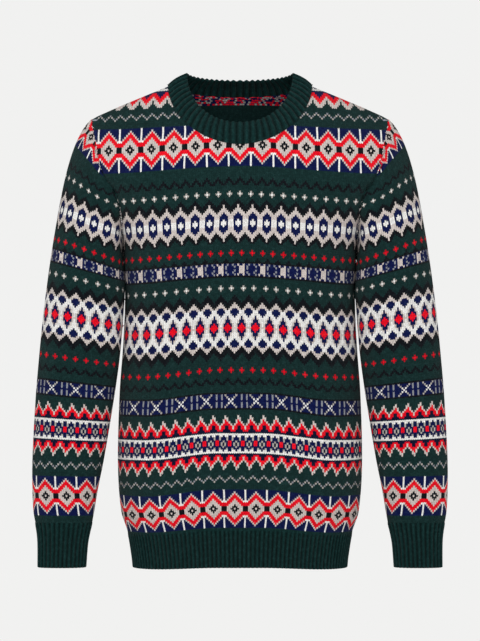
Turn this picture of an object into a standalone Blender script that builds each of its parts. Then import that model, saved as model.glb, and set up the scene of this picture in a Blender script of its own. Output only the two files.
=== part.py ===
"""Fair isle jumper: a crew-neck knitted jumper with long sleeves, filled out as worn, with no wearer.

Metres, +Z up. The front faces -Y and the wearer's left is at +X. The origin lies between the two
shoulder neck points, where the shoulders carry the jumper. Every piece is a thin wall of cloth. The
pieces share the points of their seams, so one welded surface gives each seam a common direction to
thicken along, and neighbouring walls then meet edge to edge with a fine gap.
"""

from collections import namedtuple
from math import cos, pi, radians, sin

import bmesh
import bpy
from mathutils import Vector

# Cloth
PANEL_WALL = 0.0025
RIB_WALL = 0.0030
SEAM_GAP = 0.0004
THICKEST_MITRE = 2.2  # limit on how far a wall is stretched inwards at a sharp seam
SHARP_EDGE_ANGLE = 50  # degrees, over which an edge is shown sharp

# Body, seen from the front
HEM_HEIGHT = -0.697
WELT_TOP = -0.645
UNDERARM_HEIGHT = -0.244
SECTION_POWER = 2.6  # 2 is an ellipse, more is squarer
SLEEVE_POWER = 2.3
RISE_LEVEL_TO = 0.010  # the knit's rows are level this far from the middle, then droop
RISE_FALLS_OVER = 0.150

# The shoulder line falls from the neck point to the tip of the shoulder
NECK_POINT_X = 0.104
NECK_POINT_Z = 0.0045
SHOULDER_TIP_X = 0.217
SHOULDER_FALL = 0.42
SHOULDER_ROLL = 0.0015
RIDGE_BLUNTING = 0.030  # rounds the ridge line where the two shoulders would meet

# Height over which each panel curves from the shoulder ridge to its full depth
FRONT_SHOULDER_RUN = 0.150
BACK_SHOULDER_RUN = 0.110
SHOULDER_CURVE = 0.55
DEEPEST_ARMHOLE = 0.8  # limit on the armhole seam's depth, as a share of the panel's
ARMHOLE_PULL = 3  # how strongly the armhole's curve is kept to the outermost columns

# Neckline seam and the edge of the neckband
FRONT_NECK_DROP = 0.088
BACK_NECK_DROP = 0.014
NECKLINE_POWER = 1.9
COLLAR_HALF_WIDTH = 0.077
COLLAR_TOP = 0.0215
COLLAR_FRONT_DEPTH = 0.072
COLLAR_BACK_DEPTH = 0.048
COLLAR_FRONT_DROP = 0.076
COLLAR_BACK_DROP = 0.009
COLLAR_BULGE = 0.0035
COLLAR_ROUNDING = 0.91  # 1 gives the edge an ellipse's outline, less is fuller

# Rows and columns of each surface
BODY_LOWER_ROWS = 12
BODY_UPPER_ROWS = 11
WELT_ROWS = 2
NECK_COLUMNS = 6
SHOULDER_COLUMNS = 7
NECK_SHARE = 0.33  # share of a half panel that lies under the neckline
ROW_CROWDING = 1.6  # gathers the upper rows towards the shoulder ridge
SLEEVE_HEAD_ROWS = 4
SLEEVE_ROWS = 12
CUFF_ROWS = 3
COLLAR_ROWS = 2

# Half widths and depths of the body, by height at the side. A row's middle rides higher by its rise.
BodyRow = namedtuple("BodyRow", "height half_width front_depth back_depth rise")
BODY = (
    BodyRow(-0.697, 0.1560, 0.100, 0.096, 0.004),
    BodyRow(-0.672, 0.1590, 0.102, 0.098, 0.005),
    BodyRow(-0.645, 0.1640, 0.106, 0.101, 0.008),
    BodyRow(-0.620, 0.1725, 0.111, 0.105, 0.011),
    BodyRow(-0.580, 0.1768, 0.114, 0.107, 0.011),
    BodyRow(-0.528, 0.1780, 0.112, 0.105, 0.011),
    BodyRow(-0.441, 0.1753, 0.107, 0.100, 0.010),
    BodyRow(-0.371, 0.1712, 0.106, 0.100, 0.011),
    BodyRow(-0.306, 0.1678, 0.108, 0.104, 0.011),
    BodyRow(-0.262, 0.1668, 0.109, 0.107, 0.011),
    BodyRow(-0.244, 0.1690, 0.109, 0.108, 0.011),
    BodyRow(-0.209, 0.1690, 0.107, 0.110, 0.011),
    BodyRow(-0.150, 0.1690, 0.102, 0.110, 0.011),
    BodyRow(-0.096, 0.1690, 0.091, 0.105, 0.010),
    BodyRow(-0.050, 0.1690, 0.082, 0.096, 0.008),
    BodyRow(0.000, 0.1690, 0.075, 0.086, 0.006),
)

# The armhole seam of each panel, from the underarm up to the tip of the shoulder
ArmholeRow = namedtuple("ArmholeRow", "height half_width depth")
FRONT_ARMHOLE = (
    ArmholeRow(-0.244, 0.1690, 0.000),
    ArmholeRow(-0.226, 0.1700, 0.019),
    ArmholeRow(-0.209, 0.1712, 0.035),
    ArmholeRow(-0.193, 0.1723, 0.047),
    ArmholeRow(-0.175, 0.1745, 0.057),
    ArmholeRow(-0.160, 0.1782, 0.061),
    ArmholeRow(-0.149, 0.1830, 0.062),
    ArmholeRow(-0.138, 0.1915, 0.061),
    ArmholeRow(-0.126, 0.1985, 0.058),
    ArmholeRow(-0.112, 0.2035, 0.053),
    ArmholeRow(-0.096, 0.2070, 0.046),
    ArmholeRow(-0.080, 0.2105, 0.036),
    ArmholeRow(-0.063, 0.2140, 0.022),
    ArmholeRow(-0.0455, 0.2170, 0.000),
)
BACK_ARMHOLE = (
    ArmholeRow(-0.244, 0.1690, 0.000),
    ArmholeRow(-0.226, 0.1715, 0.023),
    ArmholeRow(-0.209, 0.1745, 0.041),
    ArmholeRow(-0.185, 0.1815, 0.058),
    ArmholeRow(-0.160, 0.1905, 0.067),
    ArmholeRow(-0.138, 0.1980, 0.068),
    ArmholeRow(-0.112, 0.2050, 0.062),
    ArmholeRow(-0.080, 0.2115, 0.043),
    ArmholeRow(-0.063, 0.2142, 0.027),
    ArmholeRow(-0.0455, 0.2170, 0.000),
)

# Soft vertical folds that hang below the chest: x of the middle, ends, half width and height of each
Fold = namedtuple("Fold", "x top bottom half_width height")
FRONT_FOLDS = (
    Fold(-0.118, -0.300, -0.640, 0.034, 0.0030),
    Fold(-0.052, -0.360, -0.640, 0.030, -0.0025),
    Fold(0.041, -0.400, -0.640, 0.028, 0.0020),
    Fold(0.121, -0.320, -0.640, 0.033, 0.0028),
)
BACK_FOLDS = (
    Fold(-0.105, -0.250, -0.640, 0.036, 0.0035),
    Fold(0.010, -0.300, -0.640, 0.034, -0.0030),
    Fold(0.096, -0.280, -0.640, 0.032, 0.0030),
)

# The left sleeve's rows: the outer and inner points of each, its half depth and how far it hangs forward
SleeveRow = namedtuple("SleeveRow", "outer_x outer_z inner_x inner_z half_depth forward")
SLEEVE = (
    SleeveRow(0.2710, -0.2220, 0.1712, -0.2580, 0.0510, 0.016),
    SleeveRow(0.2775, -0.2686, 0.1682, -0.2950, 0.0475, 0.025),
    SleeveRow(0.2850, -0.3270, 0.1690, -0.3485, 0.0440, 0.031),
    SleeveRow(0.2908, -0.3850, 0.1755, -0.4020, 0.0410, 0.034),
    SleeveRow(0.2965, -0.4530, 0.1843, -0.4625, 0.0375, 0.035),
    SleeveRow(0.3008, -0.5330, 0.1966, -0.5365, 0.0335, 0.035),
    SleeveRow(0.3012, -0.5795, 0.2054, -0.5805, 0.0310, 0.035),
    SleeveRow(0.2997, -0.6140, 0.2112, -0.6145, 0.0290, 0.035),
    SleeveRow(0.2968, -0.6315, 0.2142, -0.6315, 0.0275, 0.035),
)
CUFF = (
    SleeveRow(0.2968, -0.6315, 0.2142, -0.6315, 0.0275, 0.035),
    SleeveRow(0.2940, -0.6490, 0.2185, -0.6490, 0.0260, 0.035),
    SleeveRow(0.2930, -0.6660, 0.2213, -0.6660, 0.0252, 0.035),
    SleeveRow(0.2930, -0.6955, 0.2235, -0.6955, 0.0250, 0.035),
)

# Directions in which the sleeve head leaves the armhole and joins the first whole row of the sleeve
HEAD_START_TOP = Vector((0.100, -0.005, -0.092))
HEAD_START_UNDERARM = Vector((0.006, 0.0, -0.012))
HEAD_END_TOP = Vector((0.028, -0.030, -0.168))
HEAD_END_UNDERARM = Vector((0.000, 0.0, -0.012))

FRONT, BACK = -1, 1
LEFT, RIGHT = 1, -1


def blend(start, end, share):
    return start + (end - start) * share


def ease(share):
    """0 to 1 with level ends."""
    share = min(max(share, 0.0), 1.0)
    return share * share * (3.0 - 2.0 * share)


def between(table, where):
    """The row of a table at a place between its rows, counted in rows, on a smooth curve through them."""
    first = min(max(int(where), 0), len(table) - 2)
    share = where - first
    before, start = table[max(first - 1, 0)], table[first]
    end, after = table[first + 1], table[min(first + 2, len(table) - 1)]
    values = []
    for p0, p1, p2, p3 in zip(before, start, end, after):
        slope_in, slope_out = (p2 - p0) / 2, (p3 - p1) / 2
        turn = 3 * (p2 - p1) - 2 * slope_in - slope_out
        settle = slope_in + slope_out - 2 * (p2 - p1)
        values.append(p1 + share * (slope_in + share * (turn + share * settle)))
    return type(start)(*values)


def at_height(table, height):
    """The row of a table, ordered upwards, at a height."""
    height = min(max(height, table[0].height), table[-1].height)
    first = 0
    while first < len(table) - 2 and table[first + 1].height < height:
        first += 1
    low, high = table[first].height, table[first + 1].height
    return between(table, first + (height - low) / (high - low))


def squarer(turn, power):
    """A sine or cosine bent so that it draws a rounded square's outline in place of a circle's."""
    return abs(turn) ** (2 / power) * (1 if turn > 0 else -1)


def section(share):
    """Depth of a body section, as a share of its greatest, at a share of its half width."""
    return max(1.0 - abs(share) ** SECTION_POWER, 0.0) ** (1.0 / SECTION_POWER)


def ridge_height(x):
    """Height of the shoulder ridge, above which the body has no cloth."""
    out = (x * x + RIDGE_BLUNTING**2) ** 0.5 - NECK_POINT_X
    along = max(out, 0.0) / (SHOULDER_TIP_X - NECK_POINT_X)
    return NECK_POINT_Z - SHOULDER_FALL * out - SHOULDER_ROLL * along**4


def shoulder_share(side, x, z):
    """How much of its full depth a panel has reached below the ridge."""
    run = FRONT_SHOULDER_RUN if side == FRONT else BACK_SHOULDER_RUN
    below = min(max(ridge_height(x) - z, 0.0) / run, 1.0)
    return (1.0 - (1.0 - below) ** 2) ** SHOULDER_CURVE


def full_depth(side, z):
    row = at_height(BODY, z)
    return row.front_depth if side == FRONT else row.back_depth


def armhole(side, height):
    return at_height(FRONT_ARMHOLE if side == FRONT else BACK_ARMHOLE, height)


def reach(side, z):
    """Half width of the whole section, of which a panel above the underarm is cut short by the armhole."""
    if z <= UNDERARM_HEIGHT:
        return at_height(BODY, z).half_width
    edge = armhole(side, z)
    room = full_depth(side, z) * shoulder_share(side, edge.half_width, z)
    share = min(edge.depth / room, DEEPEST_ARMHOLE) if room > 0 else DEEPEST_ARMHOLE
    return edge.half_width / (1.0 - share**SECTION_POWER) ** (1.0 / SECTION_POWER)


def fold_height(side, x, z):
    """How far the soft folds lift a panel at a point."""
    lift = 0.0
    for fold in FRONT_FOLDS if side == FRONT else BACK_FOLDS:
        across = ease(1.0 - abs(x - fold.x) / fold.half_width)
        down = (fold.top - z) / (fold.top - fold.bottom)
        lift += fold.height * across * ease(2.0 * min(down, 1.0 - down))
    return lift


def panel_y(side, x, z):
    """Depth of the outer face of a panel above the underarm, at a place seen from the front."""
    depth = full_depth(side, z) * section(x / reach(side, z)) * shoulder_share(side, x, z)
    return side * depth


def row_rise(row, x):
    """The knit's rows ride higher in the middle of the body than at its sides."""
    return row.rise * (1.0 - ease((abs(x) - RISE_LEVEL_TO) / RISE_FALLS_OVER))


def body_point(side, share, height):
    """A point of the tube below the underarm. share runs from -1 at the right side seam to 1."""
    row = at_height(BODY, height)
    angle = abs(share) * pi / 2
    x = row.half_width * sin(angle) ** (2 / SECTION_POWER)
    x = x if share > 0 else -x
    full = row.front_depth if side == FRONT else row.back_depth
    depth = full * max(cos(angle), 0.0) ** (2 / SECTION_POWER)
    z = height + row_rise(row, x)
    return Vector((x, side * (depth + fold_height(side, x, z) * section(x / row.half_width)), z))


def neck_seam(side, angle):
    """The neckline seam, from the middle of the body at angle 0 to the neck point at a quarter turn."""
    x = NECK_POINT_X * sin(angle) ** (2 / NECKLINE_POWER)
    drop = FRONT_NECK_DROP if side == FRONT else BACK_NECK_DROP
    z = NECK_POINT_Z - drop * max(cos(angle), 0.0) ** (2 / NECKLINE_POWER)
    return x, min(z, ridge_height(x))


def panel_top(side, share):
    """Where a column of a panel ends: on the neckline seam, or on the shoulder seam."""
    share = abs(share)
    if share < NECK_SHARE:
        return neck_seam(side, share / NECK_SHARE * pi / 2)
    x = blend(NECK_POINT_X, SHOULDER_TIP_X, (share - NECK_SHARE) / (1.0 - NECK_SHARE))
    return x, ridge_height(x)


def upper_point(side, share, up):
    """A point of a panel above the underarm. up runs from 0 at the underarm to 1 at the panel's top."""
    foot = body_point(side, share, UNDERARM_HEIGHT)
    if up == 0:
        return foot
    top_x, top_z = panel_top(side, share)
    z = blend(foot.z, top_z, up)
    edge_z = blend(UNDERARM_HEIGHT, ridge_height(SHOULDER_TIP_X), up)
    straight = blend(at_height(BODY, UNDERARM_HEIGHT).half_width, SHOULDER_TIP_X, up)
    bend = armhole(side, edge_z).half_width - straight
    x = blend(abs(foot.x), top_x, up) + bend * abs(share) ** ARMHOLE_PULL
    x = x if share > 0 else -x
    return Vector((x, panel_y(side, x, z) if up < 1 or abs(share) < NECK_SHARE else 0.0, z))


def panel_shares():
    """The columns of a panel, from the right side seam to the left."""
    neck = [NECK_SHARE * i / NECK_COLUMNS for i in range(NECK_COLUMNS)]
    out = [blend(NECK_SHARE, 1.0, i / SHOULDER_COLUMNS) for i in range(SHOULDER_COLUMNS + 1)]
    half = neck + out
    return [-share for share in reversed(half[1:])] + half


def panel_grid(side):
    shares = panel_shares()
    rows = []
    for i in range(BODY_LOWER_ROWS):
        height = blend(WELT_TOP, UNDERARM_HEIGHT, i / BODY_LOWER_ROWS)
        rows.append([body_point(side, share, height) for share in shares])
    for i in range(BODY_UPPER_ROWS + 1):
        up = 1.0 - (1.0 - i / BODY_UPPER_ROWS) ** ROW_CROWDING
        rows.append([upper_point(side, share, up) for share in shares])
    return rows


def welt_grid(side):
    shares = panel_shares()
    heights = [blend(HEM_HEIGHT, WELT_TOP, i / WELT_ROWS) for i in range(WELT_ROWS + 1)]
    return [[body_point(side, share, height) for share in shares] for height in heights]


def armhole_ring(front_grid, back_grid, hand):
    """The armhole seam, from the tip of the shoulder down the front and up the back."""
    column = -1 if hand == LEFT else 0
    first = BODY_LOWER_ROWS
    down = [row[column] for row in reversed(front_grid[first:])]
    up = [row[column] for row in back_grid[first + 1 : -1]]
    return down + up


def sleeve_ring(row, count, hand):
    """One row of a sleeve, from its outer point round the front."""
    outer = Vector((hand * row.outer_x, 0.0, row.outer_z))
    inner = Vector((hand * row.inner_x, 0.0, row.inner_z))
    middle, arm = (outer + inner) / 2, (outer - inner) / 2
    ring = []
    for i in range(count):
        angle = 2 * pi * i / count
        across = squarer(cos(angle), SLEEVE_POWER)
        depth = row.half_depth * squarer(sin(angle), SLEEVE_POWER)
        ring.append(middle + arm * across - Vector((0.0, depth + row.forward, 0.0)))
    return ring


def sleeve_head(seam, ring, hand):
    """The rows between the armhole seam and the first whole row of the sleeve."""
    count = len(seam)
    rows = []
    for i in range(SLEEVE_HEAD_ROWS):
        t = i / SLEEVE_HEAD_ROWS
        row = []
        for j in range(count):
            top = cos(pi * j / count) ** 2
            leave = HEAD_START_UNDERARM.lerp(HEAD_START_TOP, top)
            arrive = HEAD_END_UNDERARM.lerp(HEAD_END_TOP, top)
            leave, arrive = (Vector((hand * v.x, v.y, v.z)) for v in (leave, arrive))
            point = seam[j] * (2 * t**3 - 3 * t**2 + 1) + leave * (t**3 - 2 * t**2 + t)
            point += ring[j] * (3 * t**2 - 2 * t**3) + arrive * (t**3 - t**2)
            row.append(point)
        rows.append(row)
    return rows


def tube_rows(table, rows, count, hand):
    last = len(table) - 1
    return [sleeve_ring(between(table, last * i / rows), count, hand) for i in range(rows + 1)]


def collar_grid(front_grid, back_grid):
    """The neckband: from the neckline seam, up and over to its free edge."""
    columns = [i for i, share in enumerate(panel_shares()) if abs(share) < NECK_SHARE + SAME_POINT]
    seam = [front_grid[-1][i] for i in columns]
    seam += [back_grid[-1][i] for i in reversed(columns[1:-1])]
    half = NECK_COLUMNS
    edge = []
    for i in range(len(seam)):
        angle = (i - half) * pi / 2 / half
        side = FRONT if abs(i - half) <= half else BACK
        depth = COLLAR_FRONT_DEPTH if side == FRONT else COLLAR_BACK_DEPTH
        drop = COLLAR_FRONT_DROP if side == FRONT else COLLAR_BACK_DROP
        round_x = abs(sin(angle)) ** COLLAR_ROUNDING * (1 if sin(angle) > 0 else -1)
        round_y = abs(cos(angle))
        x = COLLAR_HALF_WIDTH * round_x
        edge.append(Vector((x, side * depth * round_y**COLLAR_ROUNDING, COLLAR_TOP - drop * round_y)))
    rows = []
    for i in range(COLLAR_ROWS + 1):
        t = i / COLLAR_ROWS
        swell = COLLAR_BULGE * sin(pi * t)
        row = []
        for low, high in zip(seam, edge):
            out = Vector((low.x, low.y, 0.0)).normalized() + Vector((0.0, 0.0, 1.0))
            row.append(low.lerp(high, t) + out.normalized() * swell)
        rows.append(row)
    return rows


def add_grid(bm, piece, grid, number, closed, flip):
    """Adds a grid of points to the shared surface as four-sided faces that carry the piece's number."""
    rows = [[bm.verts.new(point) for point in row] for row in grid]
    columns = len(rows[0])
    for low, high in zip(rows, rows[1:]):
        for j in range(columns if closed else columns - 1):
            k = (j + 1) % columns
            corners = [low[j], low[k], high[k], high[j]]
            face = bm.faces.new(reversed(corners) if flip else corners)
            face[piece] = number


def middle_of(faces):
    return sum((face.calc_center_median() for face in faces), Vector()) / len(faces)


def seam_inset(vert, own, others):
    """A small step from a seam into the piece that owns the faces, away from its neighbours."""
    rim = [e for e in vert.link_edges if sum(f in own for f in e.link_faces) == 1]
    if not rim or not others:
        return Vector()
    along = rim[0].other_vert(vert).co - rim[-1].other_vert(vert).co
    across = vert.normal.cross(along).normalized()
    into = middle_of(own) - middle_of(others)
    return across * (SEAM_GAP / 2 if across.dot(into) > 0 else -SEAM_GAP / 2)


def close_rim(solid, a, b, outer, inner):
    """Two triangles across the wall's edge. Both pieces at a seam split it along the same diagonal."""
    if a.index < b.index:
        solid.faces.new([outer[b], outer[a], inner[b]])
        solid.faces.new([outer[a], inner[a], inner[b]])
    else:
        solid.faces.new([outer[b], outer[a], inner[a]])
        solid.faces.new([outer[b], inner[a], inner[b]])


def thicken(faces, wall):
    """A closed wall under the faces of one piece, along the normals of the whole surface."""
    solid = bmesh.new()
    outer, inner = {}, {}
    faces = set(faces)
    for vert in {v for f in faces for v in f.verts}:
        own = [f for f in vert.link_faces if f in faces]
        others = [f for f in vert.link_faces if f not in faces]
        inset = seam_inset(vert, own, others)
        depth = (PANEL_WALL if others else wall) * min(vert.calc_shell_factor(), THICKEST_MITRE)
        outer[vert] = solid.verts.new(vert.co + inset)
        inner[vert] = solid.verts.new(vert.co + inset - vert.normal * depth)
    for face in faces:
        solid.faces.new([outer[v] for v in face.verts])
        solid.faces.new([inner[v] for v in reversed(face.verts)])
        for loop in face.loops:
            if sum(f in faces for f in loop.edge.link_faces) == 1:
                close_rim(solid, loop.vert, loop.link_loop_next.vert, outer, inner)
    return solid


def cloth_material(name, colour):
    material = bpy.data.materials.new(name)
    material.use_nodes = True
    shader = material.node_tree.nodes["Principled BSDF"]
    shader.inputs["Base Color"].default_value = (*colour, 1.0)
    shader.inputs["Roughness"].default_value = 0.95
    shader.inputs["Metallic"].default_value = 0.0
    return material


def add_object(collection, name, solid, colour):
    mesh = bpy.data.meshes.new(name)
    solid.to_mesh(mesh)
    solid.free()
    mesh.shade_smooth()
    mesh.set_sharp_from_angle(angle=radians(SHARP_EDGE_ANGLE))
    mesh.materials.append(cloth_material(name, colour))
    collection.objects.link(bpy.data.objects.new(name, mesh))


SAME_POINT = 1e-5  # points of neighbouring pieces nearer than this are one point of their seam
PANEL_GREEN = (0.0110, 0.0340, 0.0320)
RIB_GREEN = (0.0130, 0.0420, 0.0380)

Piece = namedtuple("Piece", "name grid closed flip wall colour")


def jumper_pieces():
    front, back = panel_grid(FRONT), panel_grid(BACK)
    pieces = [
        Piece("front", front, False, False, PANEL_WALL, PANEL_GREEN),
        Piece("back", back, False, True, PANEL_WALL, PANEL_GREEN),
        Piece("front_welt", welt_grid(FRONT), False, False, RIB_WALL, RIB_GREEN),
        Piece("back_welt", welt_grid(BACK), False, True, RIB_WALL, RIB_GREEN),
        Piece("neckband", collar_grid(front, back), True, False, RIB_WALL, RIB_GREEN),
    ]
    for hand, word in ((LEFT, "left"), (RIGHT, "right")):
        seam = armhole_ring(front, back, hand)
        sleeve = tube_rows(SLEEVE, SLEEVE_ROWS, len(seam), hand)
        cuff = tube_rows(CUFF, CUFF_ROWS, len(seam), hand)
        head = sleeve_head(seam, sleeve[0], hand)
        flip = hand == RIGHT
        pieces.append(Piece(f"sleeve_{word}", head + sleeve, True, flip, PANEL_WALL, PANEL_GREEN))
        pieces.append(Piece(f"cuff_{word}", cuff, True, flip, RIB_WALL, RIB_GREEN))
    return pieces


def main():
    for old in list(bpy.data.objects):
        bpy.data.objects.remove(old)
    collection = bpy.data.collections.new("fair_isle_jumper")
    bpy.context.scene.collection.children.link(collection)

    pieces = jumper_pieces()
    surface = bmesh.new()
    number = surface.faces.layers.int.new("piece")
    for i, piece in enumerate(pieces):
        add_grid(surface, number, piece.grid, i, piece.closed, piece.flip)
    bmesh.ops.remove_doubles(surface, verts=surface.verts, dist=SAME_POINT)
    surface.verts.index_update()
    surface.normal_update()
    for i, piece in enumerate(pieces):
        faces = [face for face in surface.faces if face[number] == i]
        add_object(collection, piece.name, thicken(faces, piece.wall), piece.colour)
    surface.free()


main()
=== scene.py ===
"""Fair isle jumper: the knitted cloth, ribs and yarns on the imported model's frame."""

from collections import namedtuple
from math import atan2, cos, pi, radians, sin, sqrt

import bmesh
import bpy
from bpy.props import FloatProperty, FloatVectorProperty, PointerProperty
from bpy.types import Operator, Panel, PropertyGroup
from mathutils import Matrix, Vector, noise


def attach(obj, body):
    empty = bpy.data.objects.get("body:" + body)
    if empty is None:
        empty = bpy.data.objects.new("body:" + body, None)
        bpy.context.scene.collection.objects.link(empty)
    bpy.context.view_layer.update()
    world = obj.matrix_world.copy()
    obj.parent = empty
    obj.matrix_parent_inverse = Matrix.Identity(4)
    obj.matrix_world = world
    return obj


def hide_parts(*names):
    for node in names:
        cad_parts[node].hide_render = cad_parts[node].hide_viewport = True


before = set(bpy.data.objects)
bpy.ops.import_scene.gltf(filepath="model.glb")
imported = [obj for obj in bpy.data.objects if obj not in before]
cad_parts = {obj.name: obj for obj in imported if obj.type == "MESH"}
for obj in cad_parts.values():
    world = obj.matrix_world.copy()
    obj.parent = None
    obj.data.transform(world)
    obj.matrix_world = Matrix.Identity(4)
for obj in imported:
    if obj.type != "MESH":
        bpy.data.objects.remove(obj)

bl_info = {
    "name": "Fair Isle Jumper",
    "version": (1, 0, 0),
    "blender": (4, 5, 0),
    "location": "View3D > Sidebar > Jumper",
    "description": "Knits a fair isle jumper on a filled-out form",
    "category": "Add Mesh",
}

MM = 0.001
FRONT, BACK = -1, 1
LEFT, RIGHT = 1, -1

# ---- the form that the jumper hangs in

# Sizes are in metres. The front faces -Y, and the wearer's left is at +X
HEM_HEIGHT = -0.697
UNDERARM_HEIGHT = -0.244
SECTION_POWER = 2.6  # 2 is an ellipse, more is squarer
SLEEVE_POWER = 2.3
RISE_LEVEL_TO = 0.010  # a row's middle lies higher than its sides: level to here, then falling
RISE_FALLS_OVER = 0.150
RISE_ENDS_OVER = 0.060  # height above the underarm over which that rise is lost

NECK_POINT_X = 0.104
NECK_POINT_Z = 0.0045
SHOULDER_TIP_X = 0.217
SHOULDER_FALL = 0.42
SHOULDER_ROLL = 0.0015
RIDGE_BLUNTING = 0.030
SHOULDER_RUN = {FRONT: 0.150, BACK: 0.110}
SHOULDER_CURVE = 0.55
DEEPEST_ARMHOLE = 0.8
SHOULDER_BLEND = -0.054  # above this height the front and back keep the fullness that they have here

NECK_DROP = {FRONT: 0.088, BACK: 0.014}
NECKLINE_POWER = 1.9
COLLAR_HALF_WIDTH = 0.077
COLLAR_TOP = 0.0215
COLLAR_DEPTH = {FRONT: 0.072, BACK: 0.048}
COLLAR_DROP = {FRONT: 0.076, BACK: 0.009}
COLLAR_BULGE = 0.0020
COLLAR_STANDS_OFF = 0.0018
COLLAR_OVERLAP = 0.0028  # how far the neckband's lowest course lies over the front
COLLAR_BACK_SHARE = 0.4  # and the share of it at the back
COLLAR_ROUNDING = 0.91
ARMHOLE_SPACING = 1.6  # how the armhole's points gather towards the tip of the shoulder


def rows_of(kind, *rows):
    """A table whose rows have named columns."""
    return tuple(kind(*row) for row in rows)


BodyRow = namedtuple("BodyRow", "height half_width front_depth back_depth rise")
BODY = rows_of(
    BodyRow,
    (-0.697, 0.1560, 0.100, 0.096, 0.004),
    (-0.672, 0.1590, 0.102, 0.098, 0.005),
    (-0.645, 0.1640, 0.106, 0.101, 0.008),
    (-0.620, 0.1725, 0.111, 0.105, 0.011),
    (-0.580, 0.1768, 0.114, 0.107, 0.011),
    (-0.528, 0.1780, 0.112, 0.105, 0.011),
    (-0.441, 0.1753, 0.107, 0.100, 0.010),
    (-0.371, 0.1702, 0.106, 0.100, 0.011),
    (-0.306, 0.1676, 0.108, 0.104, 0.011),
    (-0.262, 0.1694, 0.109, 0.107, 0.011),
    (-0.244, 0.1690, 0.109, 0.108, 0.011),
    (-0.209, 0.1690, 0.107, 0.110, 0.011),
    (-0.150, 0.1690, 0.102, 0.110, 0.011),
    (-0.096, 0.1690, 0.091, 0.105, 0.010),
    (-0.050, 0.1690, 0.082, 0.096, 0.008),
    (0.000, 0.1690, 0.075, 0.086, 0.006),
)

ArmholeRow = namedtuple("ArmholeRow", "height half_width depth")
FRONT_ARMHOLE = rows_of(
    ArmholeRow,
    (-0.244, 0.1690, 0.000),
    (-0.226, 0.1700, 0.019),
    (-0.209, 0.1712, 0.035),
    (-0.193, 0.1723, 0.047),
    (-0.175, 0.1745, 0.057),
    (-0.160, 0.1782, 0.061),
    (-0.149, 0.1830, 0.062),
    (-0.138, 0.1915, 0.061),
    (-0.126, 0.1985, 0.058),
    (-0.112, 0.2035, 0.053),
    (-0.096, 0.2070, 0.046),
    (-0.080, 0.2105, 0.036),
    (-0.063, 0.2140, 0.022),
    (-0.0455, 0.2170, 0.000),
)
BACK_ARMHOLE = rows_of(
    ArmholeRow,
    (-0.244, 0.1690, 0.000),
    (-0.226, 0.1715, 0.023),
    (-0.209, 0.1745, 0.041),
    (-0.185, 0.1815, 0.058),
    (-0.160, 0.1905, 0.067),
    (-0.138, 0.1980, 0.068),
    (-0.112, 0.2050, 0.062),
    (-0.080, 0.2115, 0.043),
    (-0.063, 0.2142, 0.027),
    (-0.0455, 0.2170, 0.000),
)

Fold = namedtuple("Fold", "x top bottom half_width height")
FOLDS = {
    FRONT: rows_of(
        Fold,
        (-0.118, -0.300, -0.640, 0.034, 0.0030),
        (-0.052, -0.360, -0.640, 0.030, -0.0025),
        (0.041, -0.400, -0.640, 0.028, 0.0020),
        (0.121, -0.320, -0.640, 0.033, 0.0028),
    ),
    BACK: rows_of(
        Fold,
        (-0.105, -0.250, -0.640, 0.036, 0.0035),
        (0.010, -0.300, -0.640, 0.034, -0.0030),
        (0.096, -0.280, -0.640, 0.032, 0.0030),
    ),
}

SleeveRow = namedtuple("SleeveRow", "outer_x outer_z inner_x inner_z half_depth forward")
SLEEVE = rows_of(
    SleeveRow,
    (0.2710, -0.2220, 0.1688, -0.2580, 0.0510, 0.022),
    (0.2775, -0.2686, 0.1670, -0.2950, 0.0475, 0.032),
    (0.2850, -0.3270, 0.1704, -0.3485, 0.0440, 0.031),
    (0.2908, -0.3850, 0.1755, -0.4020, 0.0410, 0.034),
    (0.2965, -0.4530, 0.1843, -0.4625, 0.0375, 0.035),
    (0.3008, -0.5330, 0.1966, -0.5365, 0.0335, 0.035),
    (0.3012, -0.5795, 0.2054, -0.5805, 0.0310, 0.035),
    (0.2997, -0.6140, 0.2112, -0.6145, 0.0290, 0.035),
    (0.2968, -0.6315, 0.2142, -0.6315, 0.0275, 0.035),
)
CUFF = rows_of(
    SleeveRow,
    (0.2968, -0.6315, 0.2142, -0.6315, 0.0275, 0.035),
    (0.2940, -0.6490, 0.2185, -0.6490, 0.0260, 0.035),
    (0.2930, -0.6660, 0.2213, -0.6660, 0.0252, 0.035),
    (0.2930, -0.6955, 0.2235, -0.6955, 0.0250, 0.035),
)
# The sleeve head leaves the armhole and meets the sleeve in these directions
HEAD_START_TOP = Vector((0.100, -0.005, -0.092))
HEAD_START_UNDERARM = Vector((0.006, 0.0, -0.012))
HEAD_END_TOP = Vector((0.028, -0.030, -0.168))
HEAD_END_UNDERARM = Vector((0.000, 0.0, -0.012))

# ---- the knitting chart

YARNS = {
    "g": "green", "n": "navy", "d": "dark_navy", "r": "red", "m": "deep_red", "w": "white", "b": "beige",
    "f": "faded_beige", "s": "shaded_beige", "k": "black",
}


def mirrored(*rows):
    """Rows down to a middle one, then the same rows back up."""
    return rows + rows[-2::-1]


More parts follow.
